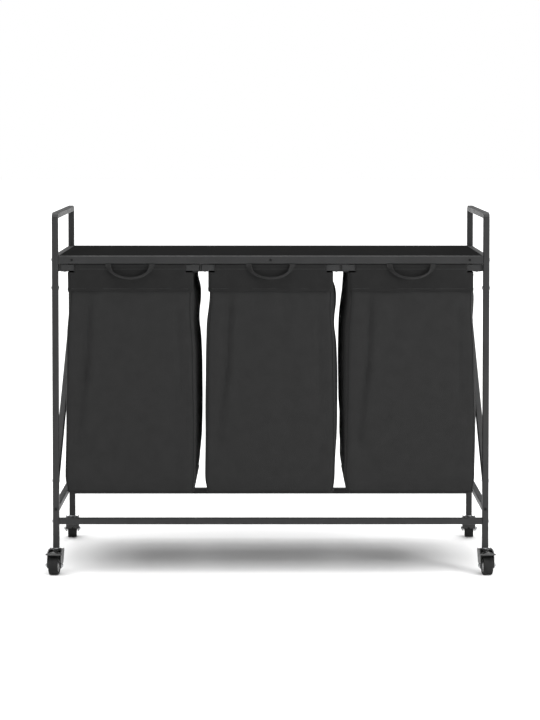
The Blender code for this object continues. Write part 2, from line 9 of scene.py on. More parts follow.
import bmesh
import bpy
import numpy as np
from mathutils import Matrix, Vector, noise
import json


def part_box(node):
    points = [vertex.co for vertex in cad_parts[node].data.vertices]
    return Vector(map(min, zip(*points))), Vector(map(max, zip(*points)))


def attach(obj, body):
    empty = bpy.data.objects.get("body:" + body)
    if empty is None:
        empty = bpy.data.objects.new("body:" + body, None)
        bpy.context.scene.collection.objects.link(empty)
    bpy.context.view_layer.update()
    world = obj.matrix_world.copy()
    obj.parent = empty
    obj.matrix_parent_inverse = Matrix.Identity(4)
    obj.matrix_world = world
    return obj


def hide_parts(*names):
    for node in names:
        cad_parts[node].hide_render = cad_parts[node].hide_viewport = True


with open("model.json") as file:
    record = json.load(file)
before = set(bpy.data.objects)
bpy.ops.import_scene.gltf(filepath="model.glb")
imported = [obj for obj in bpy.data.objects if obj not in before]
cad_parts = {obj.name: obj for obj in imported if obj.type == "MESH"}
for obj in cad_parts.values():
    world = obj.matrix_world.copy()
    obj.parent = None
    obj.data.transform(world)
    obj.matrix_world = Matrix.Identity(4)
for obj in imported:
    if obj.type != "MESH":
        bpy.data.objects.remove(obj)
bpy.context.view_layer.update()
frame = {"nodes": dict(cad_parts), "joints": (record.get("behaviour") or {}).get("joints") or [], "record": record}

MM = 0.001
SIDES = (("left", -1), ("right", 1))
ENDS = (("front", -1), ("rear", 1))
BAGS = ("left", "middle", "right")

# Camera: in front of the cart and above it, turned a little down and shifted down
CAMERA_AT = (-0.00144, -4.8901, 0.9372)
CAMERA_PITCH = math.radians(2.603)
CAMERA_SHIFT = -0.19
LENS = 114.345

# Studio
FLOOR_HALF = 30.0
LIGHT_ON_CART = 0.46  # strength of the white surroundings, as a light
LIGHT_SEEN = 1.0  # and as the camera sees them
SUN_ENERGY = 4.0
SUN_ANGLE = math.radians(90)
LAMPS = (  # name, place, size, watts
    ("key", (2.6, -2.4, 1.5), 1.2, 66),
    ("fill", (-2.8, -2.0, 1.2), 1.6, 10),
)
LAMPS_AIM = (0, 0, 0.4)

# Fixed places on the frame
BRACE_SCREW_Z = {-1: 191.4 * MM, 1: 489 * MM}  # on the front posts and on the rear ones
SHELF_SCREW_X = 409 * MM
LUG_DEPTH = 13 * MM

# Casters
WHEEL_RADIUS = 19 * MM
TYRE_HALF = 9.75 * MM  # half its width
HUB_HALF = 11.4 * MM
CROWN_TOP = 49.45 * MM  # just over the top of a fork
PEDAL_SLOPE = math.radians(3)
PEDAL_HALF = 13.4 * MM
HOOD = (9.8 * MM, 8.6 * MM, 6.6 * MM)  # half its width, half its length and its height
HOOD_SQUARENESS = 2.6  # 2 is an ellipse

# Bag frames
BAR = 12.6 * MM
BAR_UNDERSIDE = 626 * MM
BAG_FRAME_HALF = 128.2 * MM  # half its width, without the slide strips

# Bags
CLOTH = 1.1 * MM
BASE = 168 * MM
COLLAR_HEM = 584 * MM
COLLAR_TOP = 622.5 * MM
BODY_CORNER = 11 * MM
COLLAR_CORNER = 9 * MM
MOUTH_CORNER = 6 * MM
STRAP_WIDTH = 12 * MM
STRAP_HALF_THICKNESS = 1.1 * MM
STRAP_TWIST = math.radians(66)

# Heights on a bag, and how far each side stands out from the bag's middle there
LEFT_SIDE = ((168, 131), (193, 136), (224, 135.5), (296, 133.5), (380, 132.5), (462, 131.5),
             (503, 130.5), (534, 127.7), (565, 125.3), (623, 126.5))
RIGHT_SIDE = ((168, 129), (193, 132.5), (338, 132.5), (420, 131), (470, 130.5), (503, 128),
              (534, 125.5), (561, 125.5), (581, 127), (606, 126), (623, 126.5))
LEFT_BULGE = ((168, 0), (210, 2), (330, 5), (520, 5), (560, 3), (585, 0), (623, 0))
RIGHT_BULGE = ((168, 0), (200, 1), (224, 4), (255, 7.5), (296, 9), (420, 10.5), (462, 9),
               (500, 6), (525, 9), (545, 13.5), (572, 13.5), (584, 8), (600, 4), (623, 0))
LAST_LEFT_BULGE = ((168, 0), (224, 1), (255, 5), (296, 6), (338, 10), (420, 13), (500, 12),
                   (534, 12.5), (565, 10), (600, 6), (623, 0))
MOST_REACH = 143.4 * MM  # just short of half the bags' pitch
FRONT_SIDE = ((168, -191), (190, -197), (380, -199), (540, -198), (583, -196.5), (623, -195.5))
REAR_SIDE = ((168, 172), (190, 178), (380, 180), (540, 179), (583, 176.5), (623, 175.5))


def slab(name):
    """Low and high corner of a node's box."""
    low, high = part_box(name)
    return Vector(low), Vector(high)


# ---------------------------------------------------------------- materials


class Surface:
    """A Principled material with a few node helpers."""

    def __init__(self, name, color, roughness, metallic=0.0):
        self.material = bpy.data.materials.new(name)
        self.material.use_nodes = True
        self.tree = self.material.node_tree
        self.shader = self.tree.nodes["Principled BSDF"]
        self.shader.inputs["Base Color"].default_value = (*color, 1)
        self.shader.inputs["Roughness"].default_value = roughness
        self.shader.inputs["Metallic"].default_value = metallic
        self.coords = self.tree.nodes.new("ShaderNodeTexCoord").outputs["Object"]

    def node(self, kind, links=(), **values):
        made = self.tree.nodes.new(kind)
        for key, value in values.items():
            setattr(made, key, value)
        for socket, source in links:
            self.put(made.inputs[socket], source)
        return made

    def put(self, socket, source):
        if isinstance(source, bpy.types.NodeSocket):
            self.tree.links.new(source, socket)
        else:
            socket.default_value = source

    def math(self, operation, first, second=0.0):
        links = ((0, first), (1, second))
        return self.node("ShaderNodeMath", links, operation=operation).outputs[0]

    def noise(self, scale, detail=2.0, stretch=(1, 1, 1)):
        """Noise over the surface. scale is in features a metre."""
        links = (("Vector", self.coords), ("Scale", stretch))
        spread = self.node("ShaderNodeMapping", links).outputs[0]
        links = (("Vector", spread), ("Scale", scale), ("Detail", detail))
        return self.node("ShaderNodeTexNoise", links).outputs["Fac"]

    def vary_color(self, factor, dark, light, low=0.35, high=0.65):
        ramp = self.node("ShaderNodeValToRGB", ((0, factor),))
        ends = ramp.color_ramp.elements
        ends[0].position, ends[0].color = low, (*dark, 1)
        ends[1].position, ends[1].color = high, (*light, 1)
        self.put(self.shader.inputs["Base Color"], ramp.outputs[0])

    def vary_roughness(self, factor, low, high):
        links = ((0, factor), (1, 0.3), (2, 0.7), (3, low), (4, high))
        ranged = self.node("ShaderNodeMapRange", links)
        self.put(self.shader.inputs["Roughness"], ranged.outputs[0])

    def bump(self, height, depth, strength=1.0):
        links = (("Height", height), ("Distance", depth), ("Strength", strength))
        self.put(self.shader.inputs["Normal"], self.node("ShaderNodeBump", links).outputs[0])

    def weave(self, period):
        """Height of a plain weave, with threads along Z and across it."""
        split = self.node("ShaderNodeSeparateXYZ", ((0, self.coords),))
        turn = 2 * math.pi / period
        across = self.math("ADD", split.outputs[0], split.outputs[1])
        across = self.math("SINE", self.math("MULTIPLY", across, turn))
        along = self.math("SINE", self.math("MULTIPLY", split.outputs[2], turn))
        return self.math("MULTIPLY", across, along)


def grey(level, tint=0.0):
    return (level * (1 - tint), level, level * (1 + tint))


def powder_coat():
    s = Surface("charcoal_powder_coat", grey(0.015), 0.4)
    s.shader.inputs["IOR"].default_value = 1.36
    s.vary_color(s.noise(26, 4), grey(0.0135, 0.01), grey(0.017, 0.02))
    s.vary_roughness(s.noise(60, 3), 0.38, 0.5)
    s.bump(s.noise(1100, 2), 0.09 * MM, 0.5)
    return s.material


def board_black():
    s = Surface("matte_black_board", grey(0.018), 0.75)
    s.shader.inputs["Specular IOR Level"].default_value = 0.03
    s.shader.inputs["IOR"].default_value = 1.05
    s.vary_color(s.noise(300, 5, (0.08, 1, 1)), grey(0.0085), grey(0.012))
    s.vary_roughness(s.noise(40, 4), 0.7, 0.85)
    s.bump(s.noise(1600, 3, (0.3, 1, 1)), 0.05 * MM, 0.5)
    return s.material


def bag_cloth(name, dark, light, period):
    s = Surface(name, light, 0.9)
    s.shader.inputs["Specular IOR Level"].default_value = 0.12
    s.shader.inputs["Sheen Weight"].default_value = 0.05
    s.shader.inputs["Sheen Roughness"].default_value = 0.5
    mottled = s.math("ADD", s.noise(45, 5), s.math("MULTIPLY", s.noise(900, 2), 0.25))
    s.vary_color(mottled, dark, light, 0.3, 0.95)
    threads = s.math("ADD", s.weave(period), s.math("MULTIPLY", s.noise(700, 3), 0.8))
    s.vary_roughness(s.noise(30, 3), 0.84, 0.96)
    s.bump(threads, 0.12 * MM, 0.7)
    return s.material


def bright_zinc():
    s = Surface("bright_zinc", grey(0.62, 0.02), 0.28, 1.0)
    s.vary_color(s.noise(120, 4), grey(0.32, 0.02), grey(0.5, 0.02))
    s.vary_roughness(s.noise(500, 3), 0.2, 0.4)
    s.bump(s.noise(2500, 2), 0.03 * MM, 0.4)
    return s.material


def dark_zinc():
    s = Surface("black_oxide", grey(0.005), 0.6)
    s.shader.inputs["Specular IOR Level"].default_value = 0.2
    s.vary_color(s.noise(400, 3), grey(0.003), grey(0.007))
    s.vary_roughness(s.noise(700, 2), 0.5, 0.7)
    return s.material


def gloss_black():
    s = Surface("gloss_black_paint", grey(0.012), 0.2)
    s.vary_color(s.noise(90, 3), grey(0.009), grey(0.016))
    s.vary_roughness(s.noise(150, 3), 0.16, 0.28)
    s.bump(s.noise(700, 2), 0.04 * MM, 0.4)
    return s.material


def moulding(name, dark, light, low, high, shine=0.5):
    s = Surface(name, light, high)
    s.shader.inputs["Specular IOR Level"].default_value = shine
    s.vary_color(s.noise(110, 3), dark, light)
    s.vary_roughness(s.noise(300, 3), low, high)
    s.bump(s.noise(1800, 2), 0.04 * MM, 0.5)
    return s.material


STEEL = powder_coat()
BOARD = board_black()
CLOTH_BODY = bag_cloth("charcoal_bag_cloth", grey(0.0165), grey(0.0195), 1.1 * MM)
# The body's cloth painted darker: painted shade of the shelf over the collar. The piping uses it too.
SHADE_DARKENED_CLOTH = bag_cloth("charcoal_cloth_painted_shade", grey(0.0108), grey(0.0132), 1.1 * MM)
WEBBING = bag_cloth("charcoal_webbing", grey(0.0125), grey(0.0175), 1.7 * MM)
THREAD = moulding("charcoal_thread", grey(0.035), grey(0.06), 0.6, 0.75)
ZINC = bright_zinc()
OXIDE = dark_zinc()
GLOSS = gloss_black()
RUBBER = moulding("tyre_rubber", grey(0.007), grey(0.012), 0.6, 0.75, 0.2)
HUB = moulding("grey_hub_moulding", grey(0.3), grey(0.4), 0.35, 0.5)
PLASTIC = moulding("black_moulding", grey(0.014), grey(0.022), 0.35, 0.5)


def finish_frame_nodes():
    by_slot = {
        "painted_steel": STEEL,
        "shelf_board": BOARD,
        "bag_fabric": CLOTH_BODY,
        "webbing": WEBBING,
        "zinc": ZINC,
        "caster_steel": GLOSS,
        "hub_plastic": HUB,
        "tyre": RUBBER,
        "black_plastic": PLASTIC,
    }
    for part in frame["record"]["subparts"]:
        node = frame["nodes"][part["node"]]
        for place in node.material_slots:
            place.material = by_slot[part["material_slot"]]


# ---------------------------------------------------------------- mesh helpers


def piece(name, bm, material, body, smooth=True):
    """The finished bmesh as an object that rides on a body."""
    bmesh.ops.remove_doubles(bm, verts=bm.verts, dist=1e-6)
    bmesh.ops.recalc_face_normals(bm, faces=bm.faces)
    mesh = bpy.data.meshes.new(name)
    bm.to_mesh(mesh)
    bm.free()
    if smooth:
        mesh.shade_smooth()
        mesh.set_sharp_from_angle(angle=math.radians(40))
    mesh.materials.append(material)
    obj = bpy.data.objects.new(name, mesh)
    bpy.context.scene.collection.objects.link(obj)
    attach(obj, body)
    return obj


def turned(bm, profile, matrix, steps=32, closed=False):
    """Adds a profile of (radius, z) points turned about Z, then moved by the matrix."""
    rings = []
    for radius, z in profile:
        if radius < 1e-7:
            rings.append([bm.verts.new(matrix @ Vector((0, 0, z)))] * steps)
            continue
        angles = [2 * math.pi * i / steps for i in range(steps)]
        points = [Vector((radius * math.cos(a), radius * math.sin(a), z)) for a in angles]
        rings.append([bm.verts.new(matrix @ p) for p in points])
    pairs = list(zip(rings, rings[1:])) + ([(rings[-1], rings[0])] if closed else [])
    for ring, after in pairs:
        for i in range(steps):
            n = (i + 1) % steps
            corners = dict.fromkeys((ring[i], ring[n], after[n], after[i]))
            if len(corners) > 2:
                bm.faces.new(list(corners))


def grid(bm, rows):
    """Faces between rows of points. A None point leaves a hole round it."""
    verts = [[bm.verts.new(p) if p is not None else None for p in row] for row in rows]
    for low, high in zip(verts, verts[1:]):
        for a, b, c, d in zip(low, low[1:], high[1:], high):
            if None not in (a, b, c, d):
                bm.faces.new((a, b, c, d))


def tube(bm, path, radius, sides=8):
    """A round bar along a path of points, closed at its ends."""
    rings = []
    for i, point in enumerate(path):
        along = (path[min(i + 1, len(path) - 1)] - path[max(i - 1, 0)]).normalized()
        first = along.orthogonal().normalized()
        second = along.cross(first)
        ring = []
        for k in range(sides):
            a = 2 * math.pi * k / sides
            offset = radius * (math.cos(a) * first + math.sin(a) * second)
            ring.append(bm.verts.new(point + offset))
        rings.append(ring)
    for ring, after in zip(rings, rings[1:]):
        turn = min(range(sides), key=lambda k: (after[k].co - ring[0].co).length)
        for k in range(sides):
            n = (k + 1) % sides
            bm.faces.new((ring[k], ring[n], after[(n + turn) % sides], after[(k + turn) % sides]))
    bm.faces.new(rings[0])
    bm.faces.new(rings[-1][::-1])


def thicken(obj, thickness):
    """Gives a cloth surface its thickness, inwards."""
    shell = obj.modifiers.new("thickness", "SOLIDIFY")
    shell.thickness = thickness
    shell.offset = -1


def look_at(direction):
    """Rotation that takes +Z to this direction."""
    return Vector(direction).to_track_quat("Z", "Y").to_matrix().to_4x4()


# ---------------------------------------------------------------- bags


def smooth_profile(points, z):
    """Reading of a (height, reach) list in millimetres at height z, rounded off."""
    heights = [p[0] * MM for p in points]
    reaches = [p[1] * MM for p in points]
    near = [np.interp(z + d * MM, heights, reaches) for d in (-9, -4.5, 0, 4.5, 9)]
    return float(np.mean(near))


def loop_columns(front_steps, side_steps, corner_steps):
    """Columns round a bag: (side, place along it), anticlockwise from above."""
    columns = []
    for side, steps in (("front", front_steps), ("right", side_steps),
                        ("rear", front_steps), ("left", side_steps)):
        columns += [(side, -1 + 2 * i / steps) for i in range(steps + 1)]
        columns += [(side + "_corner", (i + 1) / (corner_steps + 1)) for i in range(corner_steps)]
    return columns


def loop_point(column, box, corner):
    """Place and outward direction of a column on a rounded rectangle."""
    side, t = column
    left, right, front, rear = box
    mid_x, mid_y = (left + right) / 2, (front + rear) / 2
    run_x, run_y = (right - left) / 2 - corner, (rear - front) / 2 - corner
    flat = {
        "front": ((mid_x + t * run_x, front), (0, -1)),
        "right": ((right, mid_y + t * run_y), (1, 0)),
        "rear": ((mid_x - t * run_x, rear), (0, 1)),
        "left": ((left, mid_y - t * run_y), (-1, 0)),
    }
    if side in flat:
        return flat[side]
    start, cx, cy = {
        "front_corner": (-90, right - corner, front + corner),
        "right_corner": (0, right - corner, rear - corner),
        "rear_corner": (90, left + corner, rear - corner),
        "left_corner": (180, left + corner, front + corner),
    }[side]
    angle = math.radians(start + 90 * t)
    out = (math.cos(angle), math.sin(angle))
    return (cx + corner * out[0], cy + corner * out[1]), out


def crease(across, z, top, bottom, width, depth):
    """A soft valley along the line from top to bottom, each (across, z)."""
    along = (z - bottom[1]) / (top[1] - bottom[1])
    centre = bottom[0] + (top[0] - bottom[0]) * along
    fade = max(0.0, min(1.0, 5 * along)) * max(0.0, min(1.0, 5 * (1 - along)))
    return -depth * fade * math.exp(-(((across - centre) / width) ** 2))


FRONT_CREASES = (
    # (across, z) at the top, at the bottom, half width, depth
    ((-0.083, 0.590), (-0.092, 0.38), 0.008, 7.0 * MM),
    ((-0.090, 0.440), (-0.114, 0.24), 0.008, 6.5 * MM),
    ((-0.068, 0.575), (-0.092, 0.30), 0.012, -2.6 * MM),
    ((-0.108, 0.575), (-0.122, 0.33), 0.008, -2.0 * MM),
    ((0.098, 0.580), (0.104, 0.33), 0.006, 4.2 * MM),
    ((0.113, 0.580), (0.121, 0.25), 0.005, 4.6 * MM),
    ((0.040, 0.580), (0.012, 0.43), 0.014, 1.8 * MM),
    ((-0.030, 0.580), (-0.036, 0.47), 0.013, 1.6 * MM),
    ((-0.118, 0.300), (-0.060, 0.19), 0.012, 2.2 * MM),
    ((0.122, 0.300), (0.080, 0.19), 0.010, 2.0 * MM),
)


def cloth_ripple(side, across, z, seed):
    """How far the cloth stands in or out at a place on one of its sides."""
    place = Vector((across * 9, z * 4, seed))
    ripple = 1.2 * MM * noise.noise(place) + 0.5 * MM * noise.noise(place * 2.7)
    gather = math.exp(-((COLLAR_HEM - z) / 0.045) ** 2) if z < COLLAR_HEM else 1.0
    ripple += 0.9 * MM * gather * noise.noise(Vector((across * 60, z * 5, seed + 4)))
    if side == "front":
        ripple += sum(crease(across, z, *c) for c in FRONT_CREASES)
    elif side in ("left", "right"):
        lean = across - 0.25 * (z - 0.4)
        ripple += 1.8 * MM * math.sin(lean * 34 + seed) * noise.noise(Vector((seed, z * 5, 1)))
    else:
        ripple += crease(across, z, (0.05, 0.57), (0.09, 0.26), 0.010, 2.8 * MM)
        ripple += crease(across, z, (-0.07, 0.57), (-0.06, 0.35), 0.012, 2.2 * MM)
    low = max(0.0, min(1.0, (z - 0.175) / 0.05))
    return ripple * (0.25 + 0.75 * low)


def panel_bulge(side, t, z, seed):
    """How far a side panel swells between its edges, at t from -1 to 1 across it."""
    if side not in ("left", "right"):
        return 0.0
    profile = LEFT_BULGE if side == "left" else RIGHT_BULGE
    if side == "left" and seed == 2:
        profile = LAST_LEFT_BULGE
    return smooth_profile(profile, z) * (1 - t * t) ** 0.6


def body_box(centre, z):
    """Left, right, front and rear faces of a bag's body at height z."""
    return (
        centre - smooth_profile(LEFT_SIDE, z),
        centre + smooth_profile(RIGHT_SIDE, z),
        smooth_profile(FRONT_SIDE, z),
        smooth_profile(REAR_SIDE, z),
    )


def body_rows(centre, seed, columns, mouth):
    """Rows of points from the bag's base up, then in under the frame and up inside it.

    mouth is the box inside the frame, and the height where the cloth ends.
    """
    rows = []
    steps = 75
    for i in range(steps + 1):
        z = BASE + (COLLAR_TOP - 6 * MM - BASE) * i / steps
        box = body_box(centre, z)
        row = []
        for column in columns:
            (x, y), out = loop_point(column, box, BODY_CORNER)
            side = column[0]
            across = x - centre if abs(out[1]) > abs(out[0]) else y
            lift = 0 if side.endswith("corner") else 1 - column[1] ** 8
            lift *= cloth_ripple(side, across, z, seed)
            lift += panel_bulge(side, column[1], z, seed)
            x = max(centre - MOST_REACH, min(centre + MOST_REACH, x + out[0] * lift))
            row.append(Vector((x, y + out[1] * lift, z)))
        rows.append(row)
    box, top = mouth
    for z in (COLLAR_TOP, BAR_UNDERSIDE, top):
        rows.append([Vector((*loop_point(c, box, MOUTH_CORNER)[0], z)) for c in columns])
    return rows


def base_rows(rows, centre):
    """The base: rings that shrink towards the middle and sag."""
    outline = rows[0]
    middle = sum(outline, Vector()) / len(outline)
    made = []
    for share, drop in ((0.0, 0.0), (0.5, 0.0), (0.85, 1.2), (0.965, 1.9), (0.99, 1.4)):
        ring = [middle.lerp(p, share) for p in outline]
        for p in ring:
            ripple = 0.8 * MM * noise.noise(Vector((p.x * 22, p.y * 22, centre)))
            p.z = BASE - (1.5 + drop) * MM + ripple * (1 - share)
        made.append(ring)
    return made


def bag_frame(bag):
    """A bag's middle, and the front, rear and top of its frame."""
    low, high = slab(f"{bag}_bag_frame")
    pull_low, pull_high = slab(f"{bag}_bag_pull")
    return (pull_low.x + pull_high.x) / 2, low.y, high.y, high.z


def make_body(bag, seed):
    """The bag's cloth, from its base up to the mouth inside the frame."""
    centre, front, rear, top = bag_frame(bag)
    columns = loop_columns(52, 60, 4)
    inset = BAR + 0.8 * MM
    half = BAG_FRAME_HALF - inset
    mouth = (centre - half, centre + half, front + inset, rear - inset)
    rows = body_rows(centre, seed, columns, (mouth, top))
    rows = base_rows(rows, centre) + rows
    bm = bmesh.new()
    grid(bm, [row + [row[0]] for row in rows])
    obj = piece(f"{bag}_bag_cloth", bm, CLOTH_BODY, f"{bag}_bag")
    thicken(obj, CLOTH)
    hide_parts(f"{bag}_bag")
    return obj


def collar_columns():
    """Columns round the collar, and how far along its side each of the two flaps ends."""
    flap = (BAG_FRAME_HALF - BAR - 0.8 * MM) / (BAG_FRAME_HALF + 0.2 * MM - COLLAR_CORNER)
    columns = []
    for side in ("front", "right", "rear", "left"):
        steps = 40
        limit = flap if side in ("front", "rear") else 1.0
        places = [limit * (-1 + 2 * i / steps) for i in range(steps + 1)]
        if limit < 1:
            places = [-1.0] + places + [1.0]
        columns += [(side, t) for t in places]
        columns += [(side + "_corner", (i + 1) / 5) for i in range(4)]
    return columns, flap


def make_collar(bag, seed):
    """The folded-over band. In front and behind it also wraps over the frame's bar."""
    centre, front, rear, top = bag_frame(bag)
    columns, flap = collar_columns()
    half = BAG_FRAME_HALF + 0.2 * MM
    box = (centre - half, centre + half, front - 1.4 * MM, rear + 1.4 * MM)
    rows = []
    hem_roll = ((0.0, -1.2), (-0.4, -0.5), (0.0, 0.1), (0.4, 4.0))
    heights = [COLLAR_HEM + (COLLAR_TOP - COLLAR_HEM) * i / 11 for i in range(12)]
    profile = [(COLLAR_HEM + z * MM, 1.3 * MM + o * MM) for o, z in hem_roll]
    profile += [(z, 1.1 * MM) for z in heights[2:]]
    for z, stand in profile:
        row = []
        for column in columns:
            (x, y), out = loop_point(column, box, COLLAR_CORNER)
            across = x - centre if abs(out[1]) > abs(out[0]) else y
            sway = 1 - (z - COLLAR_HEM) / (COLLAR_TOP - COLLAR_HEM)
            wave = 1.3 * MM * sway * noise.noise(Vector((across * 22, seed * 3, 0.3)))
            wave += 0.5 * MM * noise.noise(Vector((across * 70, z * 30, seed)))
            lift = stand + wave
            row.append(Vector((x + out[0] * (lift - 0.6 * MM), y + out[1] * lift, z)))
        rows.append(row)
    for inward, z in flap_profile(top):
        row = []
        for column in columns:
            side, t = column
            if side not in ("front", "rear") or abs(t) > flap + 1e-6:
                row.append(None)
                continue
            (x, y), out = loop_point(column, box, COLLAR_CORNER)
            wave = 0.35 * MM * noise.noise(Vector((x * 60, z * 40, seed)))
            row.append(Vector((x, y + out[1] * (1.1 * MM - inward + wave), z)))
        rows.append(row)
    bm = bmesh.new()
    grid(bm, [row + [row[0]] for row in rows])
    loose = [v for v in bm.verts if not v.link_faces]
    bmesh.ops.delete(bm, geom=loose, context="VERTS")
    # The collar takes the darker cloth: painted shade from the shelf above it.
    obj = piece(f"{bag}_bag_collar", bm, SHADE_DARKENED_CLOTH, f"{bag}_bag")
    thicken(obj, CLOTH)


def flap_profile(top):
    """(inward, z) from under the bar's outer face, over the bar and down inside it."""
    radius = 1.6 * MM
    points = [(0, BAR_UNDERSIDE), (0, BAR_UNDERSIDE + 5 * MM), (0, top - radius)]
    points += [
        (radius * (1 - math.cos(a)), top + 0.9 * MM - radius + radius * math.sin(a))
        for a in (math.radians(30 * i) for i in range(1, 4))
    ]
    points += [(BAR / 2 + 1.5 * MM, top + 0.9 * MM), (BAR + 1.2 * MM, top + 0.9 * MM)]
    points += [(BAR + 3.2 * MM, top - 1.2 * MM), (BAR + 3.4 * MM, top - 9 * MM)]
    return points


def stitch(bm, start, end, out, length=3.0 * MM, gap=1.3 * MM, radius=0.28 * MM):
    """A row of short raised threads from start to end, on a surface that faces out."""
    run = end - start
    count = max(1, int(run.length / (length + gap)))
    step = run / count
    along = step.normalized()
    for i in range(count):
        head = start + step * i
        path = [head - out * 0.1 * MM]
        path += [head + along * length * t + out * 0.25 * MM for t in (0.15, 0.5, 0.85)]
        path.append(head + along * length - out * 0.1 * MM)
        tube(bm, path, radius, 5)


def make_stitching(bag):
    """Thread along the collar's hem, front and rear, and across the flaps' tops."""
    centre, front, rear, top = bag_frame(bag)
    seam = COLLAR_HEM + 5 * MM
    collar_reach = BAG_FRAME_HALF - 8 * MM
    flap_reach = BAG_FRAME_HALF - BAR - 3 * MM
    bm = bmesh.new()
    for y, sy in ((front - 2.7 * MM, -1), (rear + 2.7 * MM, 1)):
        for z, reach in ((seam, collar_reach), (top - 9 * MM, flap_reach)):
            start, end = Vector((centre - reach, y, z)), Vector((centre + reach, y, z))
            stitch(bm, start, end, Vector((0, sy, 0)), radius=0.18 * MM)
    for sx in (-1, 1):
        x = centre + sx * (BAG_FRAME_HALF + 0.9 * MM)
        start = Vector((x, front + COLLAR_CORNER, seam))
        end = Vector((x, rear - COLLAR_CORNER, seam))
        stitch(bm, start, end, Vector((sx, 0, 0)))
    piece(f"{bag}_bag_stitching", bm, THREAD, f"{bag}_bag")


def make_piping(bag, seed):
    """Bound seams: up the four edges and round the base."""
    centre = bag_frame(bag)[0]
    bm = bmesh.new()
    inset = 0.29 * BODY_CORNER  # from a box's corner to the middle of its arc
    steps = 39
    for sx in (0, 1):
        for sy in (2, 3):
            path = []
            for i in range(steps + 1):
                z = BASE + 3 * MM + (COLLAR_HEM - BASE - 2 * MM) * i / steps
                box = body_box(centre, z)
                x = box[sx] + (inset if sx == 0 else -inset)
                y = box[sy] + (inset if sy == 2 else -inset)
                sway = 0.5 * MM * noise.noise(Vector((z * 14, sx + 3, sy + seed)))
                path.append(Vector((x + sway, y + sway, z)))
            tube(bm, path, 1.1 * MM, 8)
    box = body_box(centre, BASE)
    columns = loop_columns(24, 30, 6)
    path = [Vector((*loop_point(c, box, BODY_CORNER)[0], BASE + 0.5 * MM)) for c in columns]
    tube(bm, path + path[:1], 1.3 * MM, 8)
    # The piping shares the collar's cloth, which is darkened as painted shade.
    piece(f"{bag}_bag_piping", bm, SHADE_DARKENED_CLOTH, f"{bag}_bag")


def pull_path(low, high, t):
    """Middle of the strap at t, from 0 to 1, and how far it has twisted edge on."""
    half = (high.x - low.x - STRAP_WIDTH) / 2
    angle = math.pi * (1 - t)
    c, s = math.cos(angle), math.sin(angle)
    x = (low.x + high.x) / 2 + half * c
    z = high.z - (high.z - low.z - 2 * MM) * s
    twist = STRAP_TWIST * min(1.0, s * 1.7)
    stand = 0.9 * MM + math.sin(twist) * (STRAP_WIDTH / 2 + 1 * MM)
    return Vector((x, low.y + 0.3 * MM - stand, z)), twist


def make_pull(bag):
    """A webbing loop: sewn flat at its ends, it twists edge on as it hangs between them."""
    low, high = slab(f"{bag}_bag_pull")
    steps = 56
    edge = [(-1.0, 0.0), (-0.95, 0.75), (-0.84, 0.9), (-0.76, 0.55), (-0.4, 0.6), (0.0, 0.62),
            (0.4, 0.6), (0.76, 0.55), (0.84, 0.9), (0.95, 0.75), (1.0, 0.0)]
    section = edge + [(a, -b) for a, b in edge[-2:0:-1]]
    rows = []
    for i in range(steps + 1):
        t = i / steps
        here, twist = pull_path(low, high, t)
        ahead = pull_path(low, high, min(1, t + 0.01))[0]
        behind = pull_path(low, high, max(0, t - 0.01))[0]
        along = (ahead - behind).normalized()
        flat = Vector((along.z, 0, -along.x)).normalized()
        width = flat * math.cos(twist) + Vector((0, 1, 0)) * math.sin(twist)
        face = along.cross(width).normalized()
        rows.append([here + width * (STRAP_WIDTH / 2 * a) + face * (STRAP_HALF_THICKNESS * b)
                     for a, b in section])
    bm = bmesh.new()
    grid(bm, [row + [row[0]] for row in rows])
    for end in (rows[0], rows[-1]):
        bm.faces.new([bm.verts.new(p) for p in end])
    obj = piece(f"{bag}_bag_strap", bm, WEBBING, f"{bag}_bag")
    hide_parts(f"{bag}_bag_pull")
    bm = bmesh.new()
    out = Vector((0, -1, 0))
    for t in (0.0, 1.0):
        middle = pull_path(low, high, t)[0]
        for dz in (-2, -5):
            start = middle + Vector((-0.4 * STRAP_WIDTH, -1.0 * MM, dz * MM))
            end = start + Vector((0.8 * STRAP_WIDTH, 0, 0))
            stitch(bm, start, end, out, 1.7 * MM, 0.7 * MM, 0.22 * MM)
    piece(f"{bag}_bag_strap_stitching", bm, THREAD, f"{bag}_bag")


# ---------------------------------------------------------------- screws and casters


def pan_head(bm, at, direction, radius=3.6 * MM, height=1.9 * MM):
    """A domed screw head with a hexagon socket, its seat at this point."""
    matrix = Matrix.Translation(at) @ look_at(direction)
    dome = [(radius * math.cos(a), height * (0.25 + 0.75 * math.sin(a)))
            for a in (math.radians(15 * i) for i in range(5))]
    socket = radius * 0.42
    turned(bm, [(radius, -0.2 * MM)] + dome + [(socket * 1.12, height)], matrix, 24)
    turned(bm, [(socket * 1.12, height), (socket, height - 0.3 * MM),
                (socket, height * 0.35), (0, height * 0.3)], matrix, 6)


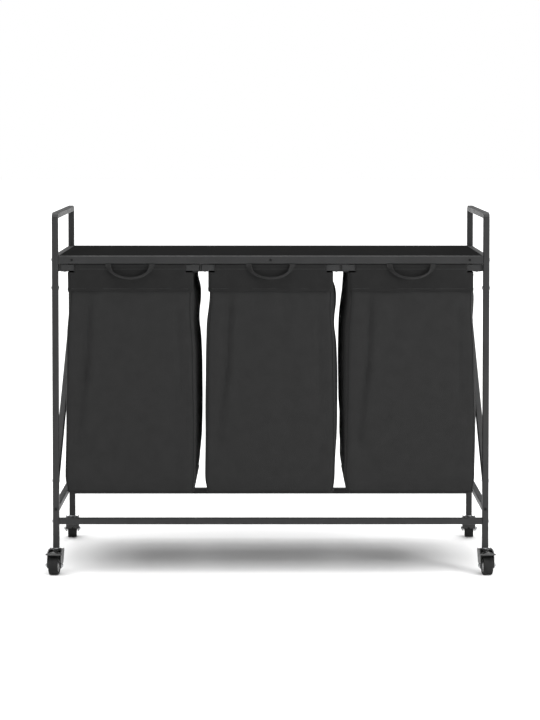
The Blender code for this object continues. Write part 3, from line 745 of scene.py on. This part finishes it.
def make_screws():
    """Screw heads that hold the rails, the braces and the shelf board."""
    post_low, post_high = slab("front_right_post")
    out_x, out_y = post_high.x, -post_low.y
    post_x, post_y = (post_low.x + post_high.x) / 2, -(post_low.y + post_high.y) / 2
    shelf = slab("shelf_front_rail")
    shelf_z = (shelf[0].z + shelf[1].z) / 2
    long_z = sum(v.z for v in slab("bottom_front_rail")) / 2
    end_z = sum(v.z for v in slab("bottom_left_rail")) / 2
    bm = bmesh.new()
    for _, sx in SIDES:
        for _, sy in ENDS:
            for z in (shelf_z, long_z):
                pan_head(bm, (sx * out_x, sy * post_y, z), (sx, 0, 0))
            for side in (-1, 1):
                face = sx * post_x + side * (out_x - post_x)
                at = (face, sy * post_y, BRACE_SCREW_Z[sy])
                pan_head(bm, at, (side, 0, 0), height=1.5 * MM)
    piece("rail_screws", bm, ZINC, "frame")
    bm = bmesh.new()
    for _, sy in ENDS:
        for x in (-SHELF_SCREW_X, 0, SHELF_SCREW_X):
            pan_head(bm, (x, sy * out_y, shelf_z), (0, sy, 0), 2.7 * MM, 1.2 * MM)
        for _, sx in SIDES:
            pan_head(bm, (sx * post_x, sy * out_y, end_z), (0, sy, 0), 3.2 * MM, 1.6 * MM)
    piece("shelf_screws", bm, OXIDE, "frame")


def make_runner_screws():
    """Screws under the runners, near their ends."""
    bm = bmesh.new()
    for name in ("outer_left", "inner_left", "inner_right", "outer_right"):
        low, high = slab(f"{name}_runner")
        for y in (low.y + 9 * MM, high.y - 9 * MM):
            for x in {round(low.x + 7 * MM, 5), round(high.x - 7 * MM, 5)}:
                pan_head(bm, (x, y, low.z), (0, 0, -1), 2.8 * MM, 1.2 * MM)
    piece("runner_screws", bm, OXIDE, "frame")


def make_runner_lugs():
    """Small plates that tie the outer runners' ends to the posts."""
    bm = bmesh.new()
    for side, sx in SIDES:
        runner_low, runner_high = slab(f"outer_{side}_runner")
        post_low, post_high = slab(f"front_{side}_post")
        reach = min(abs(post_low.x), abs(post_high.x)) - 0.2 * MM
        back = max(abs(runner_low.x), abs(runner_high.x)) - 0.4 * MM
        height = runner_high.z - runner_low.z - 1.2 * MM
        middle = (sx * (reach + back) / 2, (runner_low.z + runner_high.z) / 2)
        for y in (runner_low.y + 7 * MM, runner_high.y - 7 * MM):
            at = Matrix.Translation((middle[0], y, middle[1]))
            size = Matrix.Diagonal((reach - back, LUG_DEPTH, height, 1))
            bmesh.ops.create_cube(bm, size=1, matrix=at @ size)
    piece("runner_lugs", bm, STEEL, "frame", smooth=False)


def make_seam_rings():
    """The dark joint line where each handle's leg meets its post."""
    bm = bmesh.new()
    for end, _ in ENDS:
        for side, _ in SIDES:
            low, high = slab(f"{end}_{side}_post")
            seam = slab(f"{side}_handle")[0].z
            centre = Vector(((low.x + high.x) / 2, (low.y + high.y) / 2, seam))
            turned(bm, [(5.6 * MM, 0.2 * MM), (6.35 * MM, 0.1 * MM), (6.35 * MM, -0.4 * MM),
                        (5.6 * MM, -0.5 * MM)],
                   Matrix.Translation(centre) @ Matrix.Rotation(math.pi / 4, 4, "Z"), 4, True)
    piece("joint_lines", bm, OXIDE, "frame", smooth=False)


def joint_line(name):
    """A joint's place and axis."""
    joint = next(j for j in frame["joints"] if j["name"] == name)
    return Vector(joint["pos_m"]), Vector(joint["axis"])


def wheel_matrix(name):
    """From a wheel turned about Z to its place on the cart."""
    centre, axis = joint_line(f"{name}_roll")
    return Matrix.Translation(centre) @ look_at(axis)


def make_tyre(name):
    """A tyre with rounded shoulders and a shallow step round its side."""
    matrix = wheel_matrix(name)
    side = TYRE_HALF
    curve = 1.6 * MM
    shoulder = [(WHEEL_RADIUS - curve * (1 - math.sin(a)), side - curve * (1 - math.cos(a)))
                for a in (math.radians(22.5 * i) for i in range(5))]
    upper = [(13 * MM, side - 0.9 * MM), (13.6 * MM, side - 0.1 * MM), (14.6 * MM, side)]
    upper += shoulder + [(WHEEL_RADIUS - 0.02 * MM, 3 * MM)]
    bm = bmesh.new()
    turned(bm, upper + [(r, -z) for r, z in reversed(upper)], matrix, 64, True)
    obj = piece(f"{name}_tyre", bm, RUBBER, f"{name}_wheel")
    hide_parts(f"{name}_wheel_tyre")


def make_hub(name):
    """A moulded hub: a boss, a web with five ribs on each side, and a rim."""
    matrix = wheel_matrix(name)
    face = [(2.7 * MM, HUB_HALF), (4.9 * MM, HUB_HALF), (5.3 * MM, HUB_HALF - 0.4 * MM),
            (5.6 * MM, 7.2 * MM), (6.4 * MM, 6.6 * MM), (10.6 * MM, 6.6 * MM),
            (11.2 * MM, 7.4 * MM), (11.4 * MM, 8.7 * MM), (12.9 * MM, 8.8 * MM)]
    bm = bmesh.new()
    turned(bm, face + [(r, -z) for r, z in reversed(face)], matrix, 48, True)
    for side in (-1, 1):
        for k in range(5):
            turn = Matrix.Rotation(2 * math.pi * k / 5, 4, "Z")
            size = Matrix.Diagonal((5.4 * MM, 1.3 * MM, 1.9 * MM, 1))
            spot = Matrix.Translation((8.2 * MM, 0, side * 7.2 * MM))
            bmesh.ops.create_cube(bm, size=1, matrix=matrix @ turn @ spot @ size)
    obj = piece(f"{name}_hub", bm, HUB, f"{name}_wheel")
    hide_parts(f"{name}_wheel_hub")


def make_raceway(name):
    """The pressed bearing cup on top of a caster's fork."""
    low, high = slab(f"{name}_caster_stem")
    seat = ((low.x + high.x) / 2, (low.y + high.y) / 2, CROWN_TOP)
    cup = [(7.4 * MM, 0), (7.6 * MM, 0.9 * MM), (8.8 * MM, 1.1 * MM),
           (10.4 * MM, 0.7 * MM), (11.6 * MM, 0.02 * MM)]
    bm = bmesh.new()
    turned(bm, cup, Matrix.Translation(seat), 40)
    piece(f"{name}_raceway", bm, GLOSS, f"{name}_caster")


def brake_axes(name):
    """Pivot of a brake lever, the direction across it, and the level way out along it."""
    pivot, across = joint_line(f"{name}_brake_press")
    out = Vector((0, 0, 1)).cross(across).normalized()
    return pivot, across, out if out.y < 0 else -out


def make_pedal_ribs(name):
    """Ribs across the tread of a brake lever."""
    pivot, across, out = brake_axes(name)
    along = out * math.cos(PEDAL_SLOPE) + Vector((0, 0, math.sin(PEDAL_SLOPE)))
    normal = along.cross(across)
    normal = normal if normal.z > 0 else -normal
    inner = PEDAL_HALF - 0.4 * MM
    bm = bmesh.new()
    for k in range(4):
        middle = pivot + along * ((12 + 2.3 * k) * MM) + normal * (1.25 * MM)
        path = [middle + across * w for w in (-PEDAL_HALF, -inner, inner, PEDAL_HALF)]
        tube(bm, path, 0.55 * MM, 8)
    piece(f"{name}_pedal_ribs", bm, PLASTIC, f"{name}_brake")


def make_brake_hood(name):
    """A squarish dome over the brake lever's arm, open below."""
    pivot, across, out = brake_axes(name)
    turn = Matrix((across, out, Vector((0, 0, 1)))).transposed().to_4x4()
    at = Matrix.Translation(pivot + out * (5 * MM) - Vector((0, 0, 1.2 * MM)))
    half_width, half_length, height = HOOD
    power = HOOD_SQUARENESS
    rows = []
    for i in range(10):
        rise = math.radians(10 * i)
        ring = []
        for k in range(36):
            a = math.radians(10 * k)
            squared = (abs(math.cos(a)) ** power + abs(math.sin(a)) ** power) ** (-1 / power)
            flat = math.cos(rise) * squared
            spot = (half_width * flat * math.cos(a), half_length * flat * math.sin(a),
                    height * math.sin(rise))
            ring.append(at @ turn @ Vector(spot))
        rows.append(ring)
    bm = bmesh.new()
    grid(bm, [row + [row[0]] for row in rows])
    piece(f"{name}_brake_hood", bm, GLOSS, f"{name}_brake")


# ---------------------------------------------------------------- studio


def make_floor():
    """A plain pale floor."""
    bm = bmesh.new()
    bmesh.ops.create_grid(bm, x_segments=2, y_segments=2, size=FLOOR_HALF)
    mesh = bpy.data.meshes.new("floor")
    bm.to_mesh(mesh)
    bm.free()
    s = Surface("pale_floor", grey(0.9), 0.9)
    s.shader.inputs["Specular IOR Level"].default_value = 0.0
    s.vary_color(s.noise(2, 2), grey(0.89), grey(0.91))
    mesh.materials.append(s.material)
    floor = bpy.data.objects.new("floor", mesh)
    bpy.context.scene.collection.objects.link(floor)


def make_world():
    """White surroundings, dimmer as a light than they look behind the cart."""
    world = bpy.data.worlds.new("studio")
    bpy.context.scene.world = world
    world.use_nodes = True
    nodes, links = world.node_tree.nodes, world.node_tree.links
    seen = nodes.new("ShaderNodeLightPath").outputs["Is Camera Ray"]
    strength = nodes.new("ShaderNodeMapRange")
    strength.inputs["To Min"].default_value = LIGHT_ON_CART
    strength.inputs["To Max"].default_value = LIGHT_SEEN
    links.new(seen, strength.inputs["Value"])
    links.new(strength.outputs[0], nodes["Background"].inputs["Strength"])
    nodes["Background"].inputs["Color"].default_value = (1, 1, 1, 1)


def make_lamps():
    """A very soft light from straight above, and two soft boxes in front."""
    sun = bpy.data.lights.new("overhead", "SUN")
    sun.energy = SUN_ENERGY
    sun.angle = SUN_ANGLE
    lamp = bpy.data.objects.new("overhead", sun)
    bpy.context.scene.collection.objects.link(lamp)
    for name, at, size, watts in LAMPS:
        light = bpy.data.lights.new(name, "AREA")
        light.size = size
        light.energy = watts
        lamp = bpy.data.objects.new(name, light)
        bpy.context.scene.collection.objects.link(lamp)
        lamp.location = at
        aim = Vector(LAMPS_AIM) - Vector(at)
        lamp.rotation_euler = aim.to_track_quat("-Z", "Y").to_euler()


def make_camera():
    data = bpy.data.cameras.new("camera")
    data.lens = LENS
    data.shift_y = CAMERA_SHIFT
    camera = bpy.data.objects.new("camera", data)
    bpy.context.scene.collection.objects.link(camera)
    camera.location = CAMERA_AT
    camera.rotation_euler = (math.pi / 2 - CAMERA_PITCH, 0, 0)
    bpy.context.scene.camera = camera
    bpy.context.scene.view_settings.view_transform = "Standard"


def main():
    make_camera()
    make_floor()
    make_world()
    make_lamps()
    finish_frame_nodes()
    for seed, bag in enumerate(BAGS):
        make_body(bag, seed)
        make_collar(bag, seed)
        make_stitching(bag)
        make_piping(bag, seed)
        make_pull(bag)
    make_screws()
    make_runner_screws()
    make_runner_lugs()
    make_seam_rings()
    for end, _ in ENDS:
        for side, _ in SIDES:
            name = f"{end}_{side}"
            make_tyre(name)
            make_hub(name)
            make_raceway(name)
            if end == "front":
                make_pedal_ribs(name)
                make_brake_hood(name)


main()
